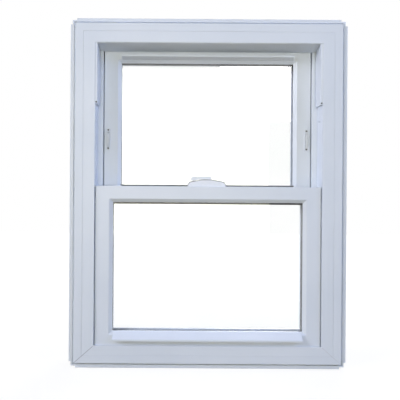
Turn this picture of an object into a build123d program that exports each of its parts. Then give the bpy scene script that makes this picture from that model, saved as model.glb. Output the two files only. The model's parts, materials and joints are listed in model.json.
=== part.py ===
from build123d import *
import os

# All sizes are millimetres. Depths run from the room face of the frame towards the outside.

# Joined and cutting shapes run this far past each other
overrun = 1.0

# Frame members
frame_width = 558.0
frame_height = 704.0
frame_depth = 82.6
lip_width = 7.3
lip_setback = 5.0
face_start = 10.5
groove_floor = 8.5
face_width = 40.0
head_face_width = 39.0
sill_face_width = 35.5
face_line_at = 16.0
face_line_width = 1.0
face_line_depth = 0.6
face_round = 0.8
notch_length = 13.0
notch_depth = 4.0
head_pocket_depth = 5.5
head_pocket_lead = 1.0
jamb_hole_radius = 2.5
jamb_hole_depth_pos = 22.0
jamb_hole_low = 120.0
jamb_hole_high = 500.0

# Sill
sill_leg = 2.5
track_drop = 5.0
sill_step = 3.5
sill_fall = 7.0
weep_at = 150.0
weep_length = 36.0
weep_height = 7.0
weep_low = 12.0
weep_reach = 12.0
weep_cover_margin = 5.0
weep_cover_thickness = 2.5

# Jamb liner, head stop and jamb covers
liner_lead = 3.0
liner_thickness = 11.6
stop_reach = 10.0
stop_thickness = 6.6
head_stop_drop = 20.0
head_liner_drop = 7.5
head_liner_lead = 2.0
head_liner_edge = 0.8
head_liner_clear = 0.3
cover_thickness = 4.6
cover_front = 1.0
cover_inset = 1.5
cover_low = 532.0
cover_lip = 1.2
pin_radius = 1.7
pin_depth = 8.0
pin_rise = 3.0

# Both sashes
sash_gap = 6.0
member_width = 35.0
bevel_width = 7.0
bevel_depth = 5.0
flange_thickness = 2.0
pocket_reach = 12.0
gasket_thickness = 1.0
pane_thickness = 3.0
bead_thickness = 7.0
glass_clear = 0.4
glass_drop = 3.6
spacer_inset = 1.0
bead_slit = 0.4
bead_chamfer = 2.5

# Lower sash
lower_front = 4.0
lower_side_gap = 1.6
seal_height = 2.0
lower_top = 366.5
bottom_width = 31.0
meeting_width = 32.5
lower_spacer_sight = 0.2

# Upper sash
upper_side_gap = 2.0
upper_top_gap = 1.3
upper_bottom = 332.0
upper_spacer_cover = 3.6
ledge_depth = 7.0

# Lift ramp of the lower bottom rail and lip of the upper top rail
lift_end_gap = 2.0
lift_proud = 11.0
lift_drop = 13.2
lift_edge = 4.5
lift_round = 1.0
lift_heel = 1.0
pull_proud = 12.0
pull_knee_rise = 5.8
pull_edge_rise = 10.8
pull_edge = 4.5
pull_heel = 1.0

# Interlock legs between the meeting rails
hook_thickness = 1.4
hook_clear = 1.0
hook_stagger = 0.2
hook_height = 6.5
lower_hook_drop = 14.0
upper_hook_drop = 24.0

# Weatherstrips
pile_width = 5.0
pile_groove = 2.0
pile_front = 6.0
meeting_pile_height = 5.6

# Sash lock
lock_shift = -2.5
lock_length = 78.0
lock_margin = 4.5
lock_foot = 3.0
lock_shoulder = 70.0
lock_shoulder_height = 9.6
lock_crown = 20.0
lock_height = 14.0
lock_edge = 1.2
lock_foot_round = 1.0
lock_shoulder_round = 3.0
lock_crown_round = 4.0
lever_length = 31.0
lever_width = 11.0
lever_thickness = 5.8
lever_rise = 0.8
lever_droop = 3.0
lever_taper = 1.0
lever_round = 1.8
spindle_radius = 4.0
spindle_gap = 0.25
hub_radius = 8.0
cam_low = 3.5
cam_thickness = 2.5
cam_tip_gap = 2.0
cam_half_width = 7.0
cam_room = 0.5
keeper_length = 50.0
keeper_lip = 2.4
keeper_throat = 6.5
keeper_reach = 5.0
keeper_tip_round = 1.0
keeper_back_round = 2.0

# Vent stops
stop_centre_height = 464.0
stop_from_edge = 8.5
stop_body_width = 7.6
stop_body_height = 44.8
stop_body_proud = 4.0
stop_body_round = 2.4
tongue_width = 3.6
tongue_height = 30.0
tongue_bed = 3.0
tongue_clear = 0.8
tongue_proud = 1.6
tongue_ridge = 1.4
end_slot_width = 4.4
end_slot_height = 3.6
end_slot_margin = 1.6
end_slot_depth = 3.2

# Tilt latches
latch_length = 52.0
latch_width = 14.0
latch_depth = 4.0
latch_front = 8.0
latch_clear = 0.3
button_length = 14.0
button_width = 8.0
button_rise = 1.0

# Working positions
half_width = frame_width / 2
half_depth = frame_depth / 2
opening_half = half_width - face_start - face_width
head_line = frame_height - face_start - head_face_width
sill_line = face_start + sill_face_width
track_floor = sill_line - track_drop
stop_start = frame_depth - stop_thickness
sash_thickness = (stop_start - lower_front - sash_gap) / 2
lower_back = lower_front + sash_thickness
upper_front = stop_start - sash_thickness
liner_start = upper_front - liner_lead
cavity_depth = (
    sash_thickness
    - bevel_depth
    - flange_thickness
    - gasket_thickness
    - pane_thickness * 2
    - bead_thickness
)
glass_reach = pocket_reach - glass_clear - glass_drop
spacer_reach = glass_reach - spacer_inset
hook_reach = sash_gap - hook_clear
latch_nose = lower_side_gap - latch_clear
meeting_pile_rise = cam_low - cam_room
lock_front = lower_front + lock_margin
lock_back = lower_back - lock_margin
lock_middle = (lock_front + lock_back) / 2
liner_face = opening_half - liner_thickness
stop_tip = liner_face - stop_reach
lower_half = opening_half - lower_side_gap
lower_bottom = track_floor + seal_height
upper_half = liner_face - upper_side_gap
upper_top = head_line + head_pocket_depth - upper_top_gap


def block(x0, x1, v0, v1, z0, z1):
    # block between two sides, two depths and two heights
    place = Pos((x0 + x1) / 2, (v0 + v1) / 2 - half_depth, (z0 + z1) / 2)
    return place * Box(x1 - x0, v1 - v0, z1 - z0)


def outline(points):
    # closed outline, with a corner radius wherever a point has a third number
    rounds = [p[2] if len(p) > 2 else 0 for p in points]
    flat = [(p[0], p[1]) for p in points]
    if any(rounds):
        return make_face(FilletPolyline(*flat, radius=rounds, close=True))
    return make_face(Polyline(*flat, close=True))


def bar_x(points, x0, x1):
    # level bar whose section is given as depth and height
    moved = [(p[0] - half_depth, *p[1:]) for p in points]
    return extrude(Plane.YZ.offset(x0) * outline(moved), x1 - x0)


def bar_z(points, z0, z1):
    # upright bar whose section is given as side and depth
    moved = [(p[0], p[1] - half_depth, *p[2:]) for p in points]
    return extrude(Plane.XY.offset(z0) * outline(moved), z1 - z0)


def plate(points, v0, v1):
    # plate parallel to the glass whose outline is given as side and height
    return extrude(Plane.XZ.offset(half_depth - v1) * outline(points), v1 - v0)


def rod_x(radius, x0, x1, v, z):
    place = Pos((x0 + x1) / 2, v - half_depth, z) * Rot(0, 90, 0)
    return place * Cylinder(radius, x1 - x0)


def rod_y(radius, x, v0, v1, z):
    place = Pos(x, (v0 + v1) / 2 - half_depth, z) * Rot(90, 0, 0)
    return place * Cylinder(radius, v1 - v0)


def rod_z(radius, x, v, z0, z1):
    return Pos(x, v - half_depth, (z0 + z1) / 2) * Cylinder(radius, z1 - z0)


def flip(shape):
    return mirror(shape, about=Plane.YZ)


def frame_front(inner):
    # room side of a frame section, as distance from the outer edge and depth
    line_end = face_start + face_line_at + face_line_width
    return [
        (0, lip_setback, face_round),
        (lip_width, lip_setback, face_round),
        (lip_width, groove_floor),
        (face_start, groove_floor),
        (face_start, 0, face_round),
        (face_start + face_line_at, 0),
        (face_start + face_line_at, face_line_depth),
        (line_end, face_line_depth),
        (line_end, 0),
        (inner, 0, face_round),
    ]


def sill_region(v0, v1):
    # the part of the frame below the two bottom mitres
    return plate(
        [
            (-half_width, 0),
            (half_width, 0),
            (half_width - face_start, face_start),
            (opening_half, sill_line),
            (-opening_half, sill_line),
            (face_start - half_width, face_start),
        ],
        v0,
        v1,
    )


def head_region():
    return plate(
        [
            (-half_width, frame_height),
            (face_start - half_width, frame_height - face_start),
            (-opening_half, head_line),
            (opening_half, head_line),
            (half_width - face_start, frame_height - face_start),
            (half_width, frame_height),
        ],
        -overrun,
        frame_depth + overrun,
    )


def sill_top():
    # top line of the sill, from the room leg down to the outer nose
    step = track_floor - sill_step
    return [
        (sill_leg, sill_line),
        (sill_leg, track_floor),
        (liner_start, track_floor),
        (liner_start + sill_step, step),
        (frame_depth, step - sill_fall),
        (frame_depth, 0),
    ]


def sill_filled():
    return bar_x([(0, 0), (0, sill_line)] + sill_top(), -half_width, half_width)


def corner_notches():
    # the lip is cut back at each corner of the frame
    cuts = []
    for side in (-1, 1):
        for z0, z1, depth_first in (
            (0, notch_depth, True),
            (0, notch_length, False),
            (frame_height - notch_depth, frame_height, True),
            (frame_height - notch_length, frame_height, False),
        ):
            width = notch_length if depth_first else notch_depth
            a, b = sorted((side * half_width, side * (half_width - width)))
            cuts.append(block(a, b, lip_setback, frame_depth, z0, z1))
    return cuts


def weep_slots():
    cuts = []
    for side in (-1, 1):
        x = side * weep_at
        cuts.append(
            block(
                x - weep_length / 2,
                x + weep_length / 2,
                frame_depth - weep_reach,
                frame_depth,
                weep_low,
                weep_low + weep_height,
            )
        )
    return cuts


def build_sill():
    front = [(v, s, *r) for s, v, *r in frame_front(sill_line)]
    bar = bar_x(front + sill_top(), -half_width, half_width)
    return (bar & sill_region(0, frame_depth)) - corner_notches() - weep_slots()


def build_head():
    inner = face_start + head_face_width
    pocket = inner - head_pocket_depth
    points = frame_front(inner) + [
        (inner, upper_front - head_pocket_lead),
        (pocket, upper_front - head_pocket_lead),
        (pocket, stop_start),
        (inner, stop_start),
        (inner, frame_depth),
        (0, frame_depth),
    ]
    section = [(v, frame_height - s, *r) for s, v, *r in points]
    bar = bar_x(section, -half_width, half_width)
    return (bar & head_region()) - corner_notches()


def build_jamb():
    inner = face_start + face_width
    points = frame_front(inner) + [(inner, frame_depth), (0, frame_depth)]
    bar = bar_z([(s - half_width, v, *r) for s, v, *r in points], 0, frame_height)
    sill = sill_filled() & sill_region(-overrun, frame_depth + overrun)
    holes = [
        rod_x(
            jamb_hole_radius,
            -half_width - overrun,
            overrun - opening_half,
            jamb_hole_depth_pos,
            z,
        )
        for z in (jamb_hole_low, jamb_hole_high)
    ]
    return bar - sill - head_region() - corner_notches() - holes


def build_liner():
    # parting strip with the outer stop leg, coped over the sill
    points = [
        (-opening_half, liner_start),
        (-liner_face, liner_start, face_round),
        (-liner_face, stop_start),
        (-stop_tip, stop_start),
        (-stop_tip, frame_depth, face_round),
        (-opening_half, frame_depth),
    ]
    return bar_z(points, 0, head_line) - sill_filled()


def build_head_stop():
    return block(
        -stop_tip, stop_tip, stop_start, frame_depth, head_line - head_stop_drop, head_line
    )


def build_head_liner():
    # slanted soffit of the head and the parting strip in front of the upper sash
    low = head_line - head_liner_drop
    back = liner_start - cover_inset
    soffit = [
        (head_liner_lead, head_line),
        (head_liner_lead, head_line - head_liner_edge),
        (back, low),
        (back, head_line),
    ]
    strip = [
        (back, head_line),
        (back, low),
        (upper_front, low),
        (upper_front, head_line),
    ]
    end = opening_half - cover_thickness - head_liner_clear
    return bar_x(soffit, -end, end) + bar_x(strip, -liner_face, liner_face)


def build_cover():
    # strip over the upper part of the lower sash track, with rounded edges
    cover_back = liner_start - cover_inset
    points = [
        (-opening_half, cover_front),
        (cover_thickness - opening_half, cover_front, cover_lip),
        (cover_thickness - opening_half, cover_back, cover_lip),
        (-opening_half, cover_back),
    ]
    pin = rod_y(
        pin_radius,
        cover_thickness / 2 - opening_half,
        cover_front - overrun,
        cover_front + pin_depth,
        cover_low + pin_rise,
    )
    return bar_z(points, cover_low, head_line) - pin


def sash_size(half, bottom, top, low_width, high_width):
    # outer edges and sight lines of a sash
    return {
        "half": half,
        "bottom": bottom,
        "top": top,
        "side_sight": half - member_width,
        "low_sight": bottom + low_width,
        "high_sight": top - high_width,
    }


def member_section(width, square=False):
    # sash section, as distance outwards from the sight line and depth from the front
    flange_back = bevel_depth + flange_thickness
    front = [(0, flange_back), (0, bevel_depth), (bevel_width, 0), (width, 0, face_round)]
    if square:
        front = [(0, flange_back), (0, 0, face_round), (width, 0, face_round)]
    return front + [
        (width, sash_thickness, face_round),
        (pocket_reach, sash_thickness),
        (pocket_reach, flange_back),
    ]


def rail_region(size, top, v):
    h, s = size["half"], size["side_sight"]
    edge, sight = (
        (size["top"], size["high_sight"]) if top else (size["bottom"], size["low_sight"])
    )
    corners = [(-h, edge), (-s, sight), (s, sight), (h, edge)]
    return plate(corners, v - overrun, v + sash_thickness + overrun)


def stile_region(size, v):
    h, s = size["half"], size["side_sight"]
    corners = [
        (-h, size["bottom"]),
        (-s, size["low_sight"]),
        (-s, size["high_sight"]),
        (-h, size["top"]),
    ]
    return plate(corners, v - overrun, v + sash_thickness + overrun)


def build_rail(size, top, v, square=False):
    sight = size["high_sight"] if top else size["low_sight"]
    width = size["top"] - sight if top else sight - size["bottom"]
    way = 1 if top else -1
    section = [
        (v + t, sight + way * q, *r) for q, t, *r in member_section(width, square)
    ]
    bar = bar_x(section, -size["half"], size["half"])
    return bar & rail_region(size, top, v)


def build_stile(size, v):
    section = [
        (-size["side_sight"] - q, v + t, *r) for q, t, *r in member_section(member_width)
    ]
    bar = bar_z(section, size["bottom"], size["top"]) & stile_region(size, v)
    groove = block(
        -size["half"],
        pile_groove - size["half"],
        v + pile_front - pile_width / 2,
        v + pile_front + pile_width / 2,
        size["bottom"],
        size["top"],
    )
    return bar - groove


def ring(size, outward, inward, v0, v1, drop=0):
    # flat frame around the sight lines
    s = size["side_sight"]
    low, high = size["low_sight"] - drop, size["high_sight"] - drop
    outer = block(-s - outward, s + outward, v0, v1, low - outward, high + outward)
    inner = block(
        inward - s, s - inward, v0 - overrun, v1 + overrun, low + inward, high - inward
    )
    return outer - inner


def glass_fronts(v):
    gasket = v + bevel_depth + flange_thickness
    inner = gasket + gasket_thickness
    spacer = inner + pane_thickness
    outer = spacer + cavity_depth
    beads = outer + pane_thickness
    return gasket, inner, spacer, outer, beads


def build_pane(size, v0):
    # panes and spacer sit a little low, on the bottom of the pocket
    s = size["side_sight"]
    low, high = size["low_sight"] - glass_drop, size["high_sight"] - glass_drop
    return block(
        -s - glass_reach,
        s + glass_reach,
        v0,
        v0 + pane_thickness,
        low - glass_reach,
        high + glass_reach,
    )


def build_beads(size, v0, v1):
    # four beads with a fine slit at each mitre
    s, low, high = size["side_sight"], size["low_sight"], size["high_sight"]
    way = pocket_reach
    half_slit = bead_slit / 2
    outer_s, outer_low, outer_high = s + way, low - way, high + way
    beads = []
    for edge, sight, sign in ((outer_low, low, 1), (outer_high, high, -1)):
        shape = plate(
            [
                (half_slit - outer_s, edge),
                (half_slit - s, sight),
                (s - half_slit, sight),
                (outer_s - half_slit, edge),
            ],
            v0,
            v1,
        )
        slope = bar_x(
            [(v1, sight), (v1 - bead_chamfer, sight), (v1, sight - sign * bead_chamfer)],
            -outer_s,
            outer_s,
        )
        beads.append(shape - slope)
    for sign in (-1, 1):
        shape = plate(
            [
                (sign * outer_s, outer_low + half_slit),
                (sign * s, low + half_slit),
                (sign * s, high - half_slit),
                (sign * outer_s, outer_high - half_slit),
            ],
            v0,
            v1,
        )
        slope = bar_z(
            [
                (sign * s, v1),
                (sign * s, v1 - bead_chamfer),
                (sign * (s + bead_chamfer), v1),
            ],
            outer_low,
            outer_high,
        )
        beads.append(shape - slope)
    return Compound(children=[solid for bead in beads for solid in bead.solids()])


def glazing(name, size, v, sight):
    gasket, inner, spacer, outer, beads = glass_fronts(v)
    return {
        name + "_glass_gasket": ring(size, glass_reach, 0, gasket, inner),
        name + "_glass_inner": build_pane(size, inner),
        name + "_glass_spacer": ring(size, spacer_reach, sight, spacer, outer, glass_drop),
        name + "_glass_outer": build_pane(size, outer),
        name + "_glazing_beads": build_beads(size, beads, v + sash_thickness),
    }


def lift_ramp(size):
    # sloping finger lift, open underneath
    tip = lower_front + bevel_depth
    sight = size["low_sight"]
    edge = lower_front - lift_proud
    low = sight - lift_drop - lift_edge
    end = size["side_sight"] - lift_end_gap
    points = [
        (tip, sight),
        (edge, sight - lift_drop, lift_round),
        (edge, low, lift_round),
        (lower_front, low - lift_heel),
        (tip, low - lift_heel),
    ]
    return bar_x(points, -end, end)


def pull_lip(size):
    # finger pull hanging out over the head of the upper sash
    tip = upper_front + bevel_depth
    sight = size["high_sight"]
    edge = upper_front - pull_proud
    low = sight + pull_edge_rise
    end = size["side_sight"] - lift_end_gap
    points = [
        (tip, sight),
        (upper_front, sight + pull_knee_rise, face_round),
        (edge, low, lift_round),
        (edge, low + pull_edge, lift_round),
        (upper_front, low + pull_edge + pull_heel),
        (tip, low + pull_edge + pull_heel),
    ]
    return bar_x(points, -end, end)


def lower_hook(size):
    # leg that reaches back and turns down
    top = lower_top - lower_hook_drop
    back = lower_back + hook_reach
    end = size["side_sight"]
    points = [
        (lower_back - overrun, top),
        (back, top),
        (back, top - hook_height),
        (back - hook_thickness, top - hook_height),
        (back - hook_thickness, top - hook_thickness),
        (lower_back - overrun, top - hook_thickness),
    ]
    return bar_x(points, -end, end)


def upper_hook(size):
    # leg that reaches forward and turns up
    low = lower_top - upper_hook_drop
    front = upper_front - hook_reach + hook_stagger
    end = size["side_sight"]
    points = [
        (upper_front + overrun, low),
        (front, low),
        (front, low + hook_height),
        (front + hook_thickness, low + hook_height),
        (front + hook_thickness, low + hook_thickness),
        (upper_front + overrun, low + hook_thickness),
    ]
    return bar_x(points, -end, end)


def latch_space():
    front = lower_front + latch_front
    return block(
        -lower_half,
        latch_length - lower_half,
        front,
        front + latch_width,
        lower_top - latch_depth,
        lower_top,
    )


def build_latch():
    # flush latch with a bevelled nose and a thumb button
    front = lower_front + latch_front
    back = front + latch_width
    low = lower_top - latch_depth
    middle = (front + back) / 2
    nose = plate(
        [
            (-lower_half, low),
            (-lower_half - latch_nose, low + latch_nose),
            (-lower_half - latch_nose, lower_top),
            (-lower_half, lower_top),
        ],
        front,
        back,
    )
    start = latch_length - lower_half - button_length - button_rise
    button = block(
        start,
        start + button_length,
        middle - button_width / 2,
        middle + button_width / 2,
        lower_top,
        lower_top + button_rise,
    )
    return latch_space() + nose + button


def lock_outline(inset):
    # elevation of the lock housing, brought in all round by the inset
    foot = lower_top + lock_foot
    shoulder_top = lower_top + lock_shoulder_height - inset
    top = lower_top + lock_height - inset
    half = lock_length / 2 - inset
    shoulder = lock_shoulder / 2 - inset
    crown = lock_crown / 2
    return [
        (lock_shift - half, lower_top),
        (lock_shift - half, foot, lock_foot_round),
        (lock_shift - shoulder, shoulder_top, lock_shoulder_round),
        (lock_shift - crown, top, lock_crown_round),
        (lock_shift + crown, top, lock_crown_round),
        (lock_shift + shoulder, shoulder_top, lock_shoulder_round),
        (lock_shift + half, foot, lock_foot_round),
        (lock_shift + half, lower_top),
    ]


def build_lock_base():
    # domed housing with steep ends and a stepped front edge, hollow for the cam
    rear = plate(lock_outline(0), lock_front + lock_edge, lock_back)
    front = plate(lock_outline(lock_edge), lock_front, lock_front + lock_edge)
    body = rear + front
    room = cam_half_width + cam_room
    space = block(
        lock_shift - room,
        lock_shift + room,
        lock_middle - room,
        lock_back,
        lower_top + cam_low - cam_room,
        lower_top + cam_low + cam_thickness + cam_room,
    )
    radius = spindle_radius + spindle_gap
    bore_top = lower_top + lock_height + overrun
    bore = rod_z(radius, lock_shift, lock_middle, lower_top + cam_low, bore_top)
    return body - space - bore


def build_lock_lever():
    # handle, spindle and the cam that turns under the keeper
    top = lower_top + lock_height
    low = lower_top + cam_low
    rest = top + lever_rise
    cam = block(
        lock_shift - cam_half_width,
        lock_shift + cam_half_width,
        lock_middle - cam_half_width,
        upper_front - cam_tip_gap,
        low,
        low + cam_thickness,
    )
    hub = rod_z(hub_radius, lock_shift, lock_middle, top, rest + overrun)
    spindle = rod_z(spindle_radius, lock_shift, lock_middle, low, top + overrun)
    tail = hub_radius + lever_round
    handle = plate(
        [
            (lock_shift + tail, rest),
            (lock_shift - lock_crown / 2 - lever_round, rest),
            (lock_shift - lever_length, rest - lever_droop, lever_round),
            (lock_shift - lever_length, rest + lever_thickness - lever_taper, lever_round),
            (lock_shift + tail, rest + lever_thickness, lever_round),
        ],
        lock_middle - lever_width / 2,
        lock_middle + lever_width / 2,
    )
    return hub + spindle + handle + cam


def build_keeper(size):
    # plate on the ledge of the upper meeting rail with a lip over the cam
    ledge = size["low_sight"]
    half = keeper_length / 2
    points = [
        (upper_front, ledge),
        (upper_front, ledge + keeper_throat),
        (upper_front - keeper_reach, ledge + keeper_throat),
        (upper_front - keeper_reach, ledge + keeper_throat + keeper_lip, keeper_tip_round),
        (upper_front + ledge_depth, ledge + keeper_throat + keeper_lip, keeper_back_round),
        (upper_front + ledge_depth, ledge),
    ]
    return bar_x(points, lock_shift - half, lock_shift + half)


def build_vent_body():
    # slim housing on the face of the upper stile, with a slot at each end
    x = stop_from_edge - upper_half
    w, h = stop_body_width / 2, stop_body_height / 2
    z = stop_centre_height
    body = plate(
        [
            (x - w, z - h, stop_body_round),
            (x + w, z - h, stop_body_round),
            (x + w, z + h, stop_body_round),
            (x - w, z + h, stop_body_round),
        ],
        upper_front - stop_body_proud,
        upper_front,
    )
    slots = []
    for low in (z - h + end_slot_margin, z + h - end_slot_margin - end_slot_height):
        slots.append(
            block(
                x - end_slot_width / 2,
                x + end_slot_width / 2,
                upper_front - stop_body_proud,
                upper_front - stop_body_proud + end_slot_depth,
                low,
                low + end_slot_height,
            )
        )
    room = tongue_width / 2 + tongue_clear
    reach = tongue_height / 2 + tongue_clear
    bed = block(
        x - room,
        x + room,
        upper_front - stop_body_proud,
        upper_front - stop_body_proud + tongue_bed,
        z - reach,
        z + reach,
    )
    return body - slots - bed


def build_vent_tongue():
    # tongue in the bed of the housing, with a thumb ridge near its top
    x = stop_from_edge - upper_half
    w = tongue_width / 2
    low = stop_centre_height - tongue_height / 2
    high = low + tongue_height
    back = upper_front - stop_body_proud + tongue_bed
    front = upper_front - stop_body_proud - tongue_proud
    ridge = high - tongue_width
    points = [
        (back, low),
        (front + tongue_proud / 2, low),
        (front, low + tongue_width),
        (front, ridge),
        (front - tongue_ridge, ridge + tongue_ridge),
        (front, high - tongue_ridge),
        (back, high),
    ]
    return bar_x(points, x - w, x + w)


def build_pile(size, v, wall):
    # pile strip standing in its groove and touching the track wall
    return block(
        -wall,
        pile_groove - size["half"],
        v + pile_front - pile_width / 2,
        v + pile_front + pile_width / 2,
        size["bottom"] + member_width,
        size["top"] - member_width,
    )


def build_meeting_pile(size):
    # pile strip that closes the gap between the two meeting rails
    high = lower_top + meeting_pile_rise
    end = size["side_sight"]
    return block(-end, end, lower_back, upper_front, high - meeting_pile_height, high)


def build_bottom_seal():
    return block(
        -lower_half + pile_groove,
        lower_half - pile_groove,
        lower_front + bevel_depth,
        lower_back - bevel_depth,
        track_floor,
        lower_bottom,
    )


def build_weep_covers():
    # hinged flaps over the two outer slots
    covers = []
    for side in (-1, 1):
        x = side * weep_at
        half = weep_length / 2 + weep_cover_margin
        low = weep_low - weep_cover_margin
        high = weep_low + weep_height + weep_cover_margin
        points = [
            (frame_depth, low),
            (frame_depth + weep_cover_thickness, low),
            (frame_depth + weep_cover_thickness, high - weep_cover_thickness),
            (frame_depth, high),
        ]
        covers.append(bar_x(points, x - half, x + half))
    return Compound(children=[solid for cover in covers for solid in cover.solids()])


def build_all():
    lower = sash_size(lower_half, lower_bottom, lower_top, bottom_width, meeting_width)
    upper = sash_size(upper_half, upper_bottom, upper_top, member_width, member_width)
    jamb = build_jamb()
    liner = build_liner()
    cover = build_cover()
    lower_stile = build_stile(lower, lower_front) - latch_space()
    upper_stile = build_stile(upper, upper_front)
    latch = build_latch()
    vent_body = build_vent_body()
    vent_tongue = build_vent_tongue()
    lower_pile = build_pile(lower, lower_front, opening_half)
    upper_pile = build_pile(upper, upper_front, liner_face)
    meeting = build_rail(lower, True, lower_front) + lower_hook(lower)
    nodes = {
        "frame_head": build_head(),
        "frame_sill": build_sill(),
        "frame_jamb_left": jamb,
        "frame_jamb_right": flip(jamb),
        "jamb_liner_left": liner,
        "jamb_liner_right": flip(liner),
        "head_stop": build_head_stop(),
        "head_liner": build_head_liner(),
        "jamb_cover_left": cover,
        "jamb_cover_right": flip(cover),
        "upper_sash_top_rail": build_rail(upper, True, upper_front) + pull_lip(upper),
        "upper_sash_meeting_rail": build_rail(upper, False, upper_front, True)
        + upper_hook(upper),
        "upper_sash_stile_left": upper_stile,
        "upper_sash_stile_right": flip(upper_stile),
        "lower_sash_meeting_rail": meeting - latch_space() - flip(latch_space()),
        "lower_sash_bottom_rail": build_rail(lower, False, lower_front) + lift_ramp(lower),
        "lower_sash_stile_left": lower_stile,
        "lower_sash_stile_right": flip(lower_stile),
        "lock_base": build_lock_base(),
        "lock_lever": build_lock_lever(),
        "lock_keeper": build_keeper(upper),
        "vent_stop_left": vent_body,
        "vent_stop_right": flip(vent_body),
        "vent_tongue_left": vent_tongue,
        "vent_tongue_right": flip(vent_tongue),
        "tilt_latch_left": latch,
        "tilt_latch_right": flip(latch),
        "lower_weatherstrip_left": lower_pile,
        "lower_weatherstrip_right": flip(lower_pile),
        "upper_weatherstrip_left": upper_pile,
        "upper_weatherstrip_right": flip(upper_pile),
        "meeting_weatherstrip": build_meeting_pile(upper),
        "bottom_seal": build_bottom_seal(),
        "weep_covers": build_weep_covers(),
    }
    nodes.update(glazing("upper", upper, upper_front, -upper_spacer_cover))
    nodes.update(glazing("lower", lower, lower_front, lower_spacer_sight))
    return nodes


os.makedirs("parts", exist_ok=True)
for name, shape in build_all().items():
    export_step(shape, os.path.join("parts", name + ".step"))
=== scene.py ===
import json
import math

import bmesh
import bpy
from mathutils import Matrix, Vector


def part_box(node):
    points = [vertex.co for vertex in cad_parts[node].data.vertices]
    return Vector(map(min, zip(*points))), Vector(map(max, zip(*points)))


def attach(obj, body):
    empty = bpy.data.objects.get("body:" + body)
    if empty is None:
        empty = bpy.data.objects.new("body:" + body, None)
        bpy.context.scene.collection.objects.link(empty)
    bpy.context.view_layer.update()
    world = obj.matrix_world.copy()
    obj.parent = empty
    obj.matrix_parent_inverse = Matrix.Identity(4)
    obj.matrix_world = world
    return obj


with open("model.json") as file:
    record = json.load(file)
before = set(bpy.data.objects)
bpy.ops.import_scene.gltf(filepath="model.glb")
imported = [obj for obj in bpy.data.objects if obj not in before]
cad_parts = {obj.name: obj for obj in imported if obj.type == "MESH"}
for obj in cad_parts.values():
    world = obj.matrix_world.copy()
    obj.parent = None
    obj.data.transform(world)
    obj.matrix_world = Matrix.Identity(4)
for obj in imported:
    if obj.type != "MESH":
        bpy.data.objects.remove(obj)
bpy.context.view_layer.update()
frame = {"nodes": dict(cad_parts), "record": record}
scene = bpy.context.scene
print("frame loaded")

# Share of a noise at which its low colour ends and its high colour begins
colorBand = (0.3, 0.7)


def newMaterial(name):
    material = bpy.data.materials.new(name)
    material.use_nodes = True
    return material, material.node_tree.nodes, material.node_tree.links


def feed(links, socket, value):
    # a value is another node's output, a colour or a number
    if isinstance(value, bpy.types.NodeSocket):
        links.new(value, socket)
    elif isinstance(value, tuple):
        socket.default_value = (*value, 1)
    else:
        socket.default_value = value


def mathNode(nodes, links, operation, *values):
    node = nodes.new("ShaderNodeMath")
    node.operation = operation
    for socket, value in zip(node.inputs, values):
        feed(links, socket, value)
    return node.outputs[0]


def blendedColor(nodes, links, factor, first, second):
    node = nodes.new("ShaderNodeMix")
    node.data_type = "RGBA"
    for index, value in ((0, factor), (6, first), (7, second)):
        feed(links, node.inputs[index], value)
    return node.outputs[2]


def blendSurface(nodes, links, factor, first, second):
    node = nodes.new("ShaderNodeMixShader")
    for socket, value in zip(node.inputs, (factor, first, second)):
        feed(links, socket, value)
    links.new(node.outputs[0], nodes["Material Output"].inputs["Surface"])


def stretchedNoise(nodes, links, scale, stretch=(1, 1, 1), detail=3.0):
    coords = nodes.new("ShaderNodeTexCoord")
    mapping = nodes.new("ShaderNodeMapping")
    mapping.inputs["Scale"].default_value = stretch
    noise = nodes.new("ShaderNodeTexNoise")
    noise.inputs["Scale"].default_value = scale
    noise.inputs["Detail"].default_value = detail
    links.new(coords.outputs["Object"], mapping.inputs["Vector"])
    links.new(mapping.outputs["Vector"], noise.inputs["Vector"])
    return noise.outputs["Fac"]


def mixedColor(nodes, links, factor, low, high):
    ramp = nodes.new("ShaderNodeValToRGB")
    for element, position, color in zip(ramp.color_ramp.elements, colorBand, (low, high)):
        element.position = position
        element.color = (*color, 1)
    links.new(factor, ramp.inputs["Fac"])
    return ramp.outputs["Color"]


def bumpFrom(nodes, links, factor, strength, distance):
    bump = nodes.new("ShaderNodeBump")
    bump.inputs["Strength"].default_value = strength
    bump.inputs["Distance"].default_value = distance
    links.new(factor, bump.inputs["Height"])
    return bump.outputs["Normal"]


# White vinyl: streaks run along each extrusion, so upright and level members differ
vinyl = {
    "low": (0.68, 0.73, 0.81),
    "high": (0.72, 0.765, 0.84),
    "roughness": 0.34,
    "specular": 0.45,
    "cloudScale": 9.0,
    "cloudDetail": 2.0,
    "streakScale": 60.0,
    "streakAcross": 8.0,
    "streakAlong": 0.15,
    "streakBump": 0.12,
    "bumpDistance": 0.0004,
}


def vinylMaterial(name, stretch):
    material, nodes, links = newMaterial(name)
    shader = nodes["Principled BSDF"]
    cloud = stretchedNoise(nodes, links, vinyl["cloudScale"], detail=vinyl["cloudDetail"])
    links.new(
        mixedColor(nodes, links, cloud, vinyl["low"], vinyl["high"]),
        shader.inputs["Base Color"],
    )
    streak = stretchedNoise(nodes, links, vinyl["streakScale"], stretch)
    links.new(
        bumpFrom(nodes, links, streak, vinyl["streakBump"], vinyl["bumpDistance"]),
        shader.inputs["Normal"],
    )
    shader.inputs["Roughness"].default_value = vinyl["roughness"]
    shader.inputs["Specular IOR Level"].default_value = vinyl["specular"]
    return material


across, along = vinyl["streakAcross"], vinyl["streakAlong"]
vinylUpright = vinylMaterial("vinyl upright", (across, across, along))
vinylLevel = vinylMaterial("vinyl level", (along, across, across))

# Clear glass with a faint green tint that comes and goes
glass = {
    "tint": (0.985, 0.995, 0.99),
    "clear": (1.0, 1.0, 1.0),
    "ior": 1.38,
    "roughness": 0.0,
    "filmScale": 14.0,
    "filmDetail": 2.0,
}


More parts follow.
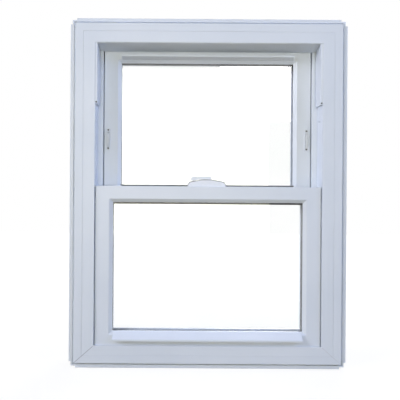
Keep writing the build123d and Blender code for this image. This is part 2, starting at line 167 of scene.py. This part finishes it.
def glassMaterial():
    material, nodes, links = newMaterial("window glass")
    shader = nodes["Principled BSDF"]
    film = stretchedNoise(nodes, links, glass["filmScale"], detail=glass["filmDetail"])
    links.new(
        mixedColor(nodes, links, film, glass["tint"], glass["clear"]),
        shader.inputs["Base Color"],
    )
    shader.inputs["Transmission Weight"].default_value = 1.0
    shader.inputs["Roughness"].default_value = glass["roughness"]
    shader.inputs["IOR"].default_value = glass["ior"]
    # light for the members passes through, so the panes cast no dark shadow
    path = nodes.new("ShaderNodeLightPath")
    through = nodes.new("ShaderNodeBsdfTransparent")
    blendSurface(
        nodes, links, path.outputs["Is Shadow Ray"], shader.outputs[0], through.outputs[0]
    )
    return material


# Finishes of the small pieces, each a fine grain between two colours
grainBump = {"strength": 0.15, "distance": 0.0003}
plain = {
    "seal": {
        "low": (0.045, 0.045, 0.05), "high": (0.07, 0.07, 0.075),
        "roughness": 0.7, "metal": 0.0, "scale": 300.0,
    },
    "spacer": {
        "low": (0.12, 0.125, 0.13), "high": (0.18, 0.185, 0.19),
        "roughness": 0.6, "metal": 0.2, "scale": 240.0,
    },
    "lock": {
        "low": (0.70, 0.735, 0.81), "high": (0.75, 0.78, 0.85),
        "roughness": 0.3, "metal": 0.0, "scale": 180.0,
    },
    "lever": {
        "low": (0.68, 0.71, 0.75), "high": (0.73, 0.76, 0.80),
        "roughness": 0.3, "metal": 0.0, "scale": 180.0,
    },
    "clip": {
        "low": (0.68, 0.72, 0.78), "high": (0.74, 0.77, 0.82),
        "roughness": 0.45, "metal": 0.0, "scale": 260.0,
    },
    "pile": {
        "low": (0.31, 0.34, 0.40), "high": (0.48, 0.52, 0.59),
        "roughness": 0.95, "metal": 0.0, "scale": 900.0,
    },
    "darkPile": {
        "low": (0.10, 0.105, 0.11), "high": (0.20, 0.205, 0.21),
        "roughness": 0.95, "metal": 0.0, "scale": 900.0,
    },
    # pins: near-black, partly painted shade for the dark slots and holes they sit in
    "pin": {
        "low": (0.06, 0.065, 0.075), "high": (0.11, 0.115, 0.125),
        "roughness": 0.5, "metal": 0.0, "scale": 500.0,
    },
    "steel": {
        "low": (0.45, 0.46, 0.48), "high": (0.58, 0.59, 0.61),
        "roughness": 0.35, "metal": 1.0, "scale": 500.0,
    },
    "weld": {
        "low": (0.30, 0.32, 0.37), "high": (0.40, 0.42, 0.47),
        "roughness": 0.5, "metal": 0.0, "scale": 420.0,
    },
    "paleWeld": {
        "low": (0.56, 0.59, 0.66), "high": (0.66, 0.69, 0.75),
        "roughness": 0.5, "metal": 0.0, "scale": 420.0,
    },
}


def plainMaterial(name):
    finish = plain[name]
    material, nodes, links = newMaterial(name + " finish")
    shader = nodes["Principled BSDF"]
    grain = stretchedNoise(nodes, links, finish["scale"])
    links.new(
        mixedColor(nodes, links, grain, finish["low"], finish["high"]),
        shader.inputs["Base Color"],
    )
    links.new(
        bumpFrom(nodes, links, grain, grainBump["strength"], grainBump["distance"]),
        shader.inputs["Normal"],
    )
    shader.inputs["Roughness"].default_value = finish["roughness"]
    shader.inputs["Metallic"].default_value = finish["metal"]
    return material


materials = {name: plainMaterial(name) for name in plain}
materials["glass"] = glassMaterial()

# Painted shade: the stepped rim of the lock housing and every downward-facing surface of lock
# and lever are painted dark
paintedShade = {"color": (0.10, 0.105, 0.12), "rimStart": 0.0010, "rimEnd": 0.0017, "under": -0.5}


def addPaintedShade(material, rimFace):
    nodes, links = material.node_tree.nodes, material.node_tree.links
    shader = nodes["Principled BSDF"]
    paint = shader.inputs["Base Color"].links[0].from_socket
    coords = nodes.new("ShaderNodeTexCoord")
    place = nodes.new("ShaderNodeSeparateXYZ")
    links.new(coords.outputs["Object"], place.inputs[0])
    surface = nodes.new("ShaderNodeNewGeometry")
    facing = nodes.new("ShaderNodeSeparateXYZ")
    links.new(surface.outputs["Normal"], facing.inputs[0])
    # painted shade: a thin band just behind the rim face, and faces whose normal points down,
    # take the dark colour
    past = mathNode(
        nodes, links, "GREATER_THAN", place.outputs["Y"], rimFace + paintedShade["rimStart"]
    )
    short = mathNode(nodes, links, "LESS_THAN", place.outputs["Y"], rimFace + paintedShade["rimEnd"])
    rim = mathNode(nodes, links, "MULTIPLY", past, short)
    under = mathNode(nodes, links, "LESS_THAN", facing.outputs["Z"], paintedShade["under"])
    dark = mathNode(nodes, links, "MAXIMUM", rim, under)
    links.new(
        blendedColor(nodes, links, dark, paint, paintedShade["color"]),
        shader.inputs["Base Color"],
    )


for name in ("lock", "lever"):
    addPaintedShade(materials[name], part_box("lock_base")[0][1])

# Each CAD node takes the material of its slot, and two nodes have their own
levelWords = ("head", "sill", "rail")
special = {"meeting_weatherstrip": "darkPile", "lock_lever": "lever"}
slots = {entry["node"]: entry["material_slot"] for entry in frame["record"]["subparts"]}
for name, node in frame["nodes"].items():
    if slots[name] == "vinyl":
        level = any(word in name for word in levelWords)
        chosen = vinylLevel if level else vinylUpright
    else:
        chosen = materials[special.get(name, slots[name])]
    node.data.materials.clear()
    node.data.materials.append(chosen)
print("materials set")


def addPiece(name, bm, material):
    mesh = bpy.data.meshes.new(name)
    bmesh.ops.recalc_face_normals(bm, faces=bm.faces)
    bm.to_mesh(mesh)
    bm.free()
    mesh.materials.append(material)
    piece = bpy.data.objects.new(name, mesh)
    scene.collection.objects.link(piece)
    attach(piece, "root")


def addBlock(bm, place, spans):
    bmesh.ops.create_cube(bm, size=1, matrix=place @ Matrix.Diagonal((*spans, 1)))


def span(node):
    low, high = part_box(node)
    return Vector(low), Vector(high)


# Weld seams at the two bottom mitres of the frame
seam = {
    "width": 0.0009,
    "proud": 0.00012,
    "sunk": 0.0002,
    "frameEdge": 0.010,
    "clear": 0.0012,
}


def addSeam(bm, start, end, front):
    start, end = Vector((start[0], 0, start[1])), Vector((end[0], 0, end[1]))
    along = end - start
    middle = (start + end) / 2 + Vector((0, front + (seam["sunk"] - seam["proud"]) / 2, 0))
    tilt = Matrix.Rotation(-math.atan2(along.z, along.x), 4, "Y")
    spans = (along.length, seam["sunk"] + seam["proud"], seam["width"])
    addBlock(bm, Matrix.Translation(middle) @ tilt, spans)


sillLow, sillHigh = span("frame_sill")
leftLow, leftHigh = span("frame_jamb_left")
rightLow, rightHigh = span("frame_jamb_right")
inset = seam["frameEdge"] + seam["clear"]
for word, outer, inner, way, finish in (
    ("left", leftLow.x, leftHigh.x, 1, "weld"),
    ("right", rightHigh.x, rightLow.x, -1, "paleWeld"),
):
    bm = bmesh.new()
    addSeam(
        bm,
        (outer + way * inset, sillLow.z + inset),
        (inner - way * seam["clear"], sillHigh.z - seam["clear"]),
        sillLow.y,
    )
    addPiece(f"frame_weld_seam_{word}", bm, materials[finish])
print("seams added")

# Screws: two in the lock housing, two in the keeper
screw = {
    "radius": 0.0026,
    "top": 0.0019,
    "height": 0.0009,
    "sunk": 0.0006,
    "slotLength": 0.0028,
    "slotWidth": 0.0006,
    "slotDepth": 0.0006,
    "slotProud": 0.00005,
    "sides": 24,
    "lockOffset": 0.026,
    "lockHeight": 0.0111,
    "lockSlope": 10.0,
    "keeperOffset": 0.018,
}


def addScrew(name, place, slope=0.0):
    turn = Matrix.Translation(place) @ Matrix.Rotation(math.radians(slope), 4, "Y")
    bm = bmesh.new()
    bmesh.ops.create_cone(
        bm,
        cap_ends=True,
        segments=screw["sides"],
        radius1=screw["radius"],
        radius2=screw["top"],
        depth=screw["height"] + screw["sunk"],
        matrix=turn @ Matrix.Translation((0, 0, (screw["height"] - screw["sunk"]) / 2)),
    )
    addPiece(name, bm, materials["steel"])
    bm = bmesh.new()
    high = screw["height"] + screw["slotProud"]
    low = screw["height"] - screw["slotDepth"]
    middle = turn @ Matrix.Translation((0, 0, (low + high) / 2))
    # the second bar is a touch lower, so that no two faces lie on each other
    addBlock(bm, middle, (screw["slotLength"], screw["slotWidth"], high - low))
    addBlock(
        bm,
        middle,
        (screw["slotWidth"], screw["slotLength"], high - low - screw["slotProud"]),
    )
    addPiece(name + "_drive", bm, materials["seal"])


lockLow, lockHigh = span("lock_base")
lockMiddle = (lockLow + lockHigh) / 2
keeperLow, keeperHigh = span("lock_keeper")
keeperMiddle = (keeperLow + keeperHigh) / 2
for side, word in ((-1, "left"), (1, "right")):
    addScrew(
        f"lock_screw_{word}",
        Vector((
            lockMiddle.x + side * screw["lockOffset"],
            lockMiddle.y,
            lockLow.z + screw["lockHeight"],
        )),
        side * screw["lockSlope"],
    )
    addScrew(
        f"keeper_screw_{word}",
        Vector((
            keeperMiddle.x + side * screw["keeperOffset"],
            keeperMiddle.y,
            keeperHigh.z,
        )),
    )
print("screws added")

# Pins: one in each end slot of the vent stops, one in the lower end of each jamb cover; their
# near-black finish is partly painted shade, standing for the shade inside the slots and holes
pin = {
    "stopRadius": 0.0015,
    "stopInset": 0.0034,
    "stopLength": 0.0024,
    "stopSunk": 0.0007,
    "coverRadius": 0.0016,
    "coverRise": 0.003,
    "coverSunk": -0.0004,
    "coverLength": 0.006,
    "sides": 20,
}
towardRoom = Matrix.Rotation(math.radians(90), 4, "X")


def addPin(name, x, front, z, radius, length):
    bm = bmesh.new()
    bmesh.ops.create_cone(
        bm,
        cap_ends=True,
        segments=pin["sides"],
        radius1=radius,
        radius2=radius,
        depth=length,
        matrix=Matrix.Translation((x, front + length / 2, z)) @ towardRoom,
    )
    addPiece(name, bm, materials["pin"])


for word in ("left", "right"):
    stopLow, stopHigh = span(f"vent_stop_{word}")
    for end, z in (
        ("low", stopLow.z + pin["stopInset"]),
        ("high", stopHigh.z - pin["stopInset"]),
    ):
        addPin(
            f"vent_stop_pin_{word}_{end}",
            (stopLow.x + stopHigh.x) / 2,
            stopLow.y + pin["stopSunk"],
            z,
            pin["stopRadius"],
            pin["stopLength"],
        )
    coverLow, coverHigh = span(f"jamb_cover_{word}")
    addPin(
        f"jamb_cover_pin_{word}",
        (coverLow.x + coverHigh.x) / 2,
        coverLow.y + pin["coverSunk"],
        coverLow.z + pin["coverRise"],
        pin["coverRadius"],
        pin["coverLength"],
    )
print("pins added")

# Pile: rows of fine bristles on the room side of the weatherstrips
pile = {
    "step": 0.0016,
    "rows": 3,
    "rowStart": 0.75,
    "rowSpare": 0.5,
    "width": 0.0005,
    "tip": 0.00015,
    "reach": 0.0018,
    "sides": 3,
    "spread": 0.0006,
    "spreadPhase": (12.9, 4.1),
    "sway": 12.0,
    "swayPhase": 7.3,
}


def addBristles(name, node):
    low, high = span(node)
    front = low.y - pile["reach"] / 2 + pile["width"]
    bm = bmesh.new()
    for i in range(int((high.z - low.z) / pile["step"])):
        for row in range(pile["rows"]):
            share = (row + pile["rowStart"]) / (pile["rows"] + pile["rowSpare"])
            x = low.x + (high.x - low.x) * share
            phase = i * pile["spreadPhase"][0] + row * pile["spreadPhase"][1]
            z = low.z + (i + 0.5) * pile["step"] + math.sin(phase) * pile["spread"] / 2
            angle = math.sin(i * pile["swayPhase"] + row) * math.radians(pile["sway"])
            sway = Matrix.Rotation(angle, 4, "Z")
            bmesh.ops.create_cone(
                bm,
                cap_ends=True,
                segments=pile["sides"],
                radius1=pile["width"] / 2,
                radius2=pile["tip"] / 2,
                depth=pile["reach"],
                matrix=Matrix.Translation((x, front, z)) @ sway @ towardRoom,
            )
    addPiece(name, bm, materials["pile"])


for which in ("lower", "upper"):
    for side in ("left", "right"):
        addBristles(f"{which}_bristles_{side}", f"{which}_weatherstrip_{side}")
print("bristles added")

# Camera, fitted to the edges measured in the photograph
view = {
    "foot": (-0.074, 0.365),
    "distance": 1.04,
    "sensor": 36.0,
    "lens": 46.7,
    "shift": (0.0713, -0.0325),
    "roll": 0.4,
}
camera = bpy.data.objects.new("camera", bpy.data.cameras.new("camera"))
camera.data.sensor_width = view["sensor"]
camera.data.lens = view["lens"]
camera.data.shift_x, camera.data.shift_y = view["shift"]
camera.location = (view["foot"][0], sillLow.y - view["distance"], view["foot"][1])
turn = towardRoom @ Matrix.Rotation(math.radians(view["roll"]), 4, "Z")
camera.rotation_euler = turn.to_euler()
scene.collection.objects.link(camera)
scene.camera = camera
print("camera set")


def whiteRays(nodes, links):
    # 1 for rays from the camera, from shiny surfaces and through glass
    path = nodes.new("ShaderNodeLightPath")
    seen = path.outputs["Is Camera Ray"]
    for kind in ("Is Glossy Ray", "Is Transmission Ray"):
        seen = mathNode(nodes, links, "MAXIMUM", seen, path.outputs[kind])
    return seen


# World: white where it is seen, a dim sky over a dim ground where it lights
sky = {
    "seen": (1.0, 1.0, 1.0),
    "high": (0.07, 0.085, 0.13),
    "low": (0.02, 0.02, 0.015),
    "lift": 0.5,
}
world = bpy.data.worlds.new("studio")
scene.world = world
world.use_nodes = True
nodes, links = world.node_tree.nodes, world.node_tree.links
coords = nodes.new("ShaderNodeTexCoord")
direction = nodes.new("ShaderNodeSeparateXYZ")
links.new(coords.outputs["Generated"], direction.inputs[0])
height = mathNode(
    nodes, links, "MULTIPLY_ADD", direction.outputs["Z"], sky["lift"], sky["lift"]
)
links.new(
    blendedColor(
        nodes,
        links,
        whiteRays(nodes, links),
        mixedColor(nodes, links, height, sky["low"], sky["high"]),
        sky["seen"],
    ),
    nodes["Background"].inputs["Color"],
)

# Lamps: three large soft ones on the room side and one at the back
lampAim = Vector((0, 0, 0.36))
lamps = {
    "left lamp": {
        "power": 116.0, "color": (0.97, 0.985, 1.12), "size": 1.8, "place": (-3.6, -2.2, 2.2),
    },
    "front lamp": {
        "power": 84.0, "color": (1.03, 1.0, 0.80), "size": 2.4, "place": (-0.2, -4.6, 0.45),
    },
    "right lamp": {
        "power": 57.0, "color": (0.83, 1.0, 1.55), "size": 2.0, "place": (3.6, -2.2, 2.0),
    },
    "rear lamp": {
        "power": 115.0, "color": (1.0, 1.0, 1.0), "size": 2.4, "place": (1.5, 4.0, 2.2),
    },
}
for name, light in lamps.items():
    lamp = bpy.data.objects.new(name, bpy.data.lights.new(name, "AREA"))
    lamp.data.energy = light["power"]
    lamp.data.size = light["size"]
    lamp.data.color = light["color"]
    lamp.location = light["place"]
    lamp.rotation_euler = (lampAim - lamp.location).to_track_quat("-Z", "Y").to_euler()
    scene.collection.objects.link(lamp)

# Floor: pale where it is seen, duller for the light that it throws back
ground = {
    "half": 3.0,
    "top": -0.0005,
    "bottom": -0.02,
    "seen": (0.85, 0.85, 0.85),
    "glow": 1.1,
    "low": (0.18, 0.15, 0.07),
    "high": (0.22, 0.185, 0.095),
    "cloudScale": 3.0,
    "roughness": 0.8,
    "shadowNear": 0.35,
    "shadowFar": 1.1,
    "shadowShare": 0.2,
}


def floorMaterial():
    material, nodes, links = newMaterial("floor paint")
    shader = nodes["Principled BSDF"]
    shader.inputs["Roughness"].default_value = ground["roughness"]
    cloud = stretchedNoise(nodes, links, ground["cloudScale"])
    paint = mixedColor(nodes, links, cloud, ground["low"], ground["high"])
    seen = whiteRays(nodes, links)
    links.new(
        blendedColor(nodes, links, seen, paint, ground["seen"]),
        shader.inputs["Base Color"],
    )
    # near the object a share of the paint shows, and with it the object's shadow
    coords = nodes.new("ShaderNodeTexCoord")
    away = nodes.new("ShaderNodeVectorMath")
    away.operation = "LENGTH"
    links.new(coords.outputs["Object"], away.inputs[0])
    fade = nodes.new("ShaderNodeMapRange")
    fade.inputs["From Min"].default_value = ground["shadowNear"]
    fade.inputs["From Max"].default_value = ground["shadowFar"]
    fade.inputs["To Min"].default_value = 1 - ground["shadowShare"]
    fade.inputs["To Max"].default_value = 1.0
    links.new(away.outputs["Value"], fade.inputs["Value"])
    share = mathNode(nodes, links, "MULTIPLY", seen, fade.outputs["Result"])
    glow = nodes.new("ShaderNodeEmission")
    glow.inputs["Strength"].default_value = ground["glow"]
    blendSurface(nodes, links, share, shader.outputs[0], glow.outputs[0])
    return material


bm = bmesh.new()
addBlock(
    bm,
    Matrix.Translation((0, 0, (ground["bottom"] + ground["top"]) / 2)),
    (2 * ground["half"], 2 * ground["half"], ground["top"] - ground["bottom"]),
)
floorMesh = bpy.data.meshes.new("floor")
bm.to_mesh(floorMesh)
bm.free()
floorMesh.materials.append(floorMaterial())
floor = bpy.data.objects.new("floor", floorMesh)
scene.collection.objects.link(floor)
scene.view_settings.view_transform = "Standard"
print("studio set")
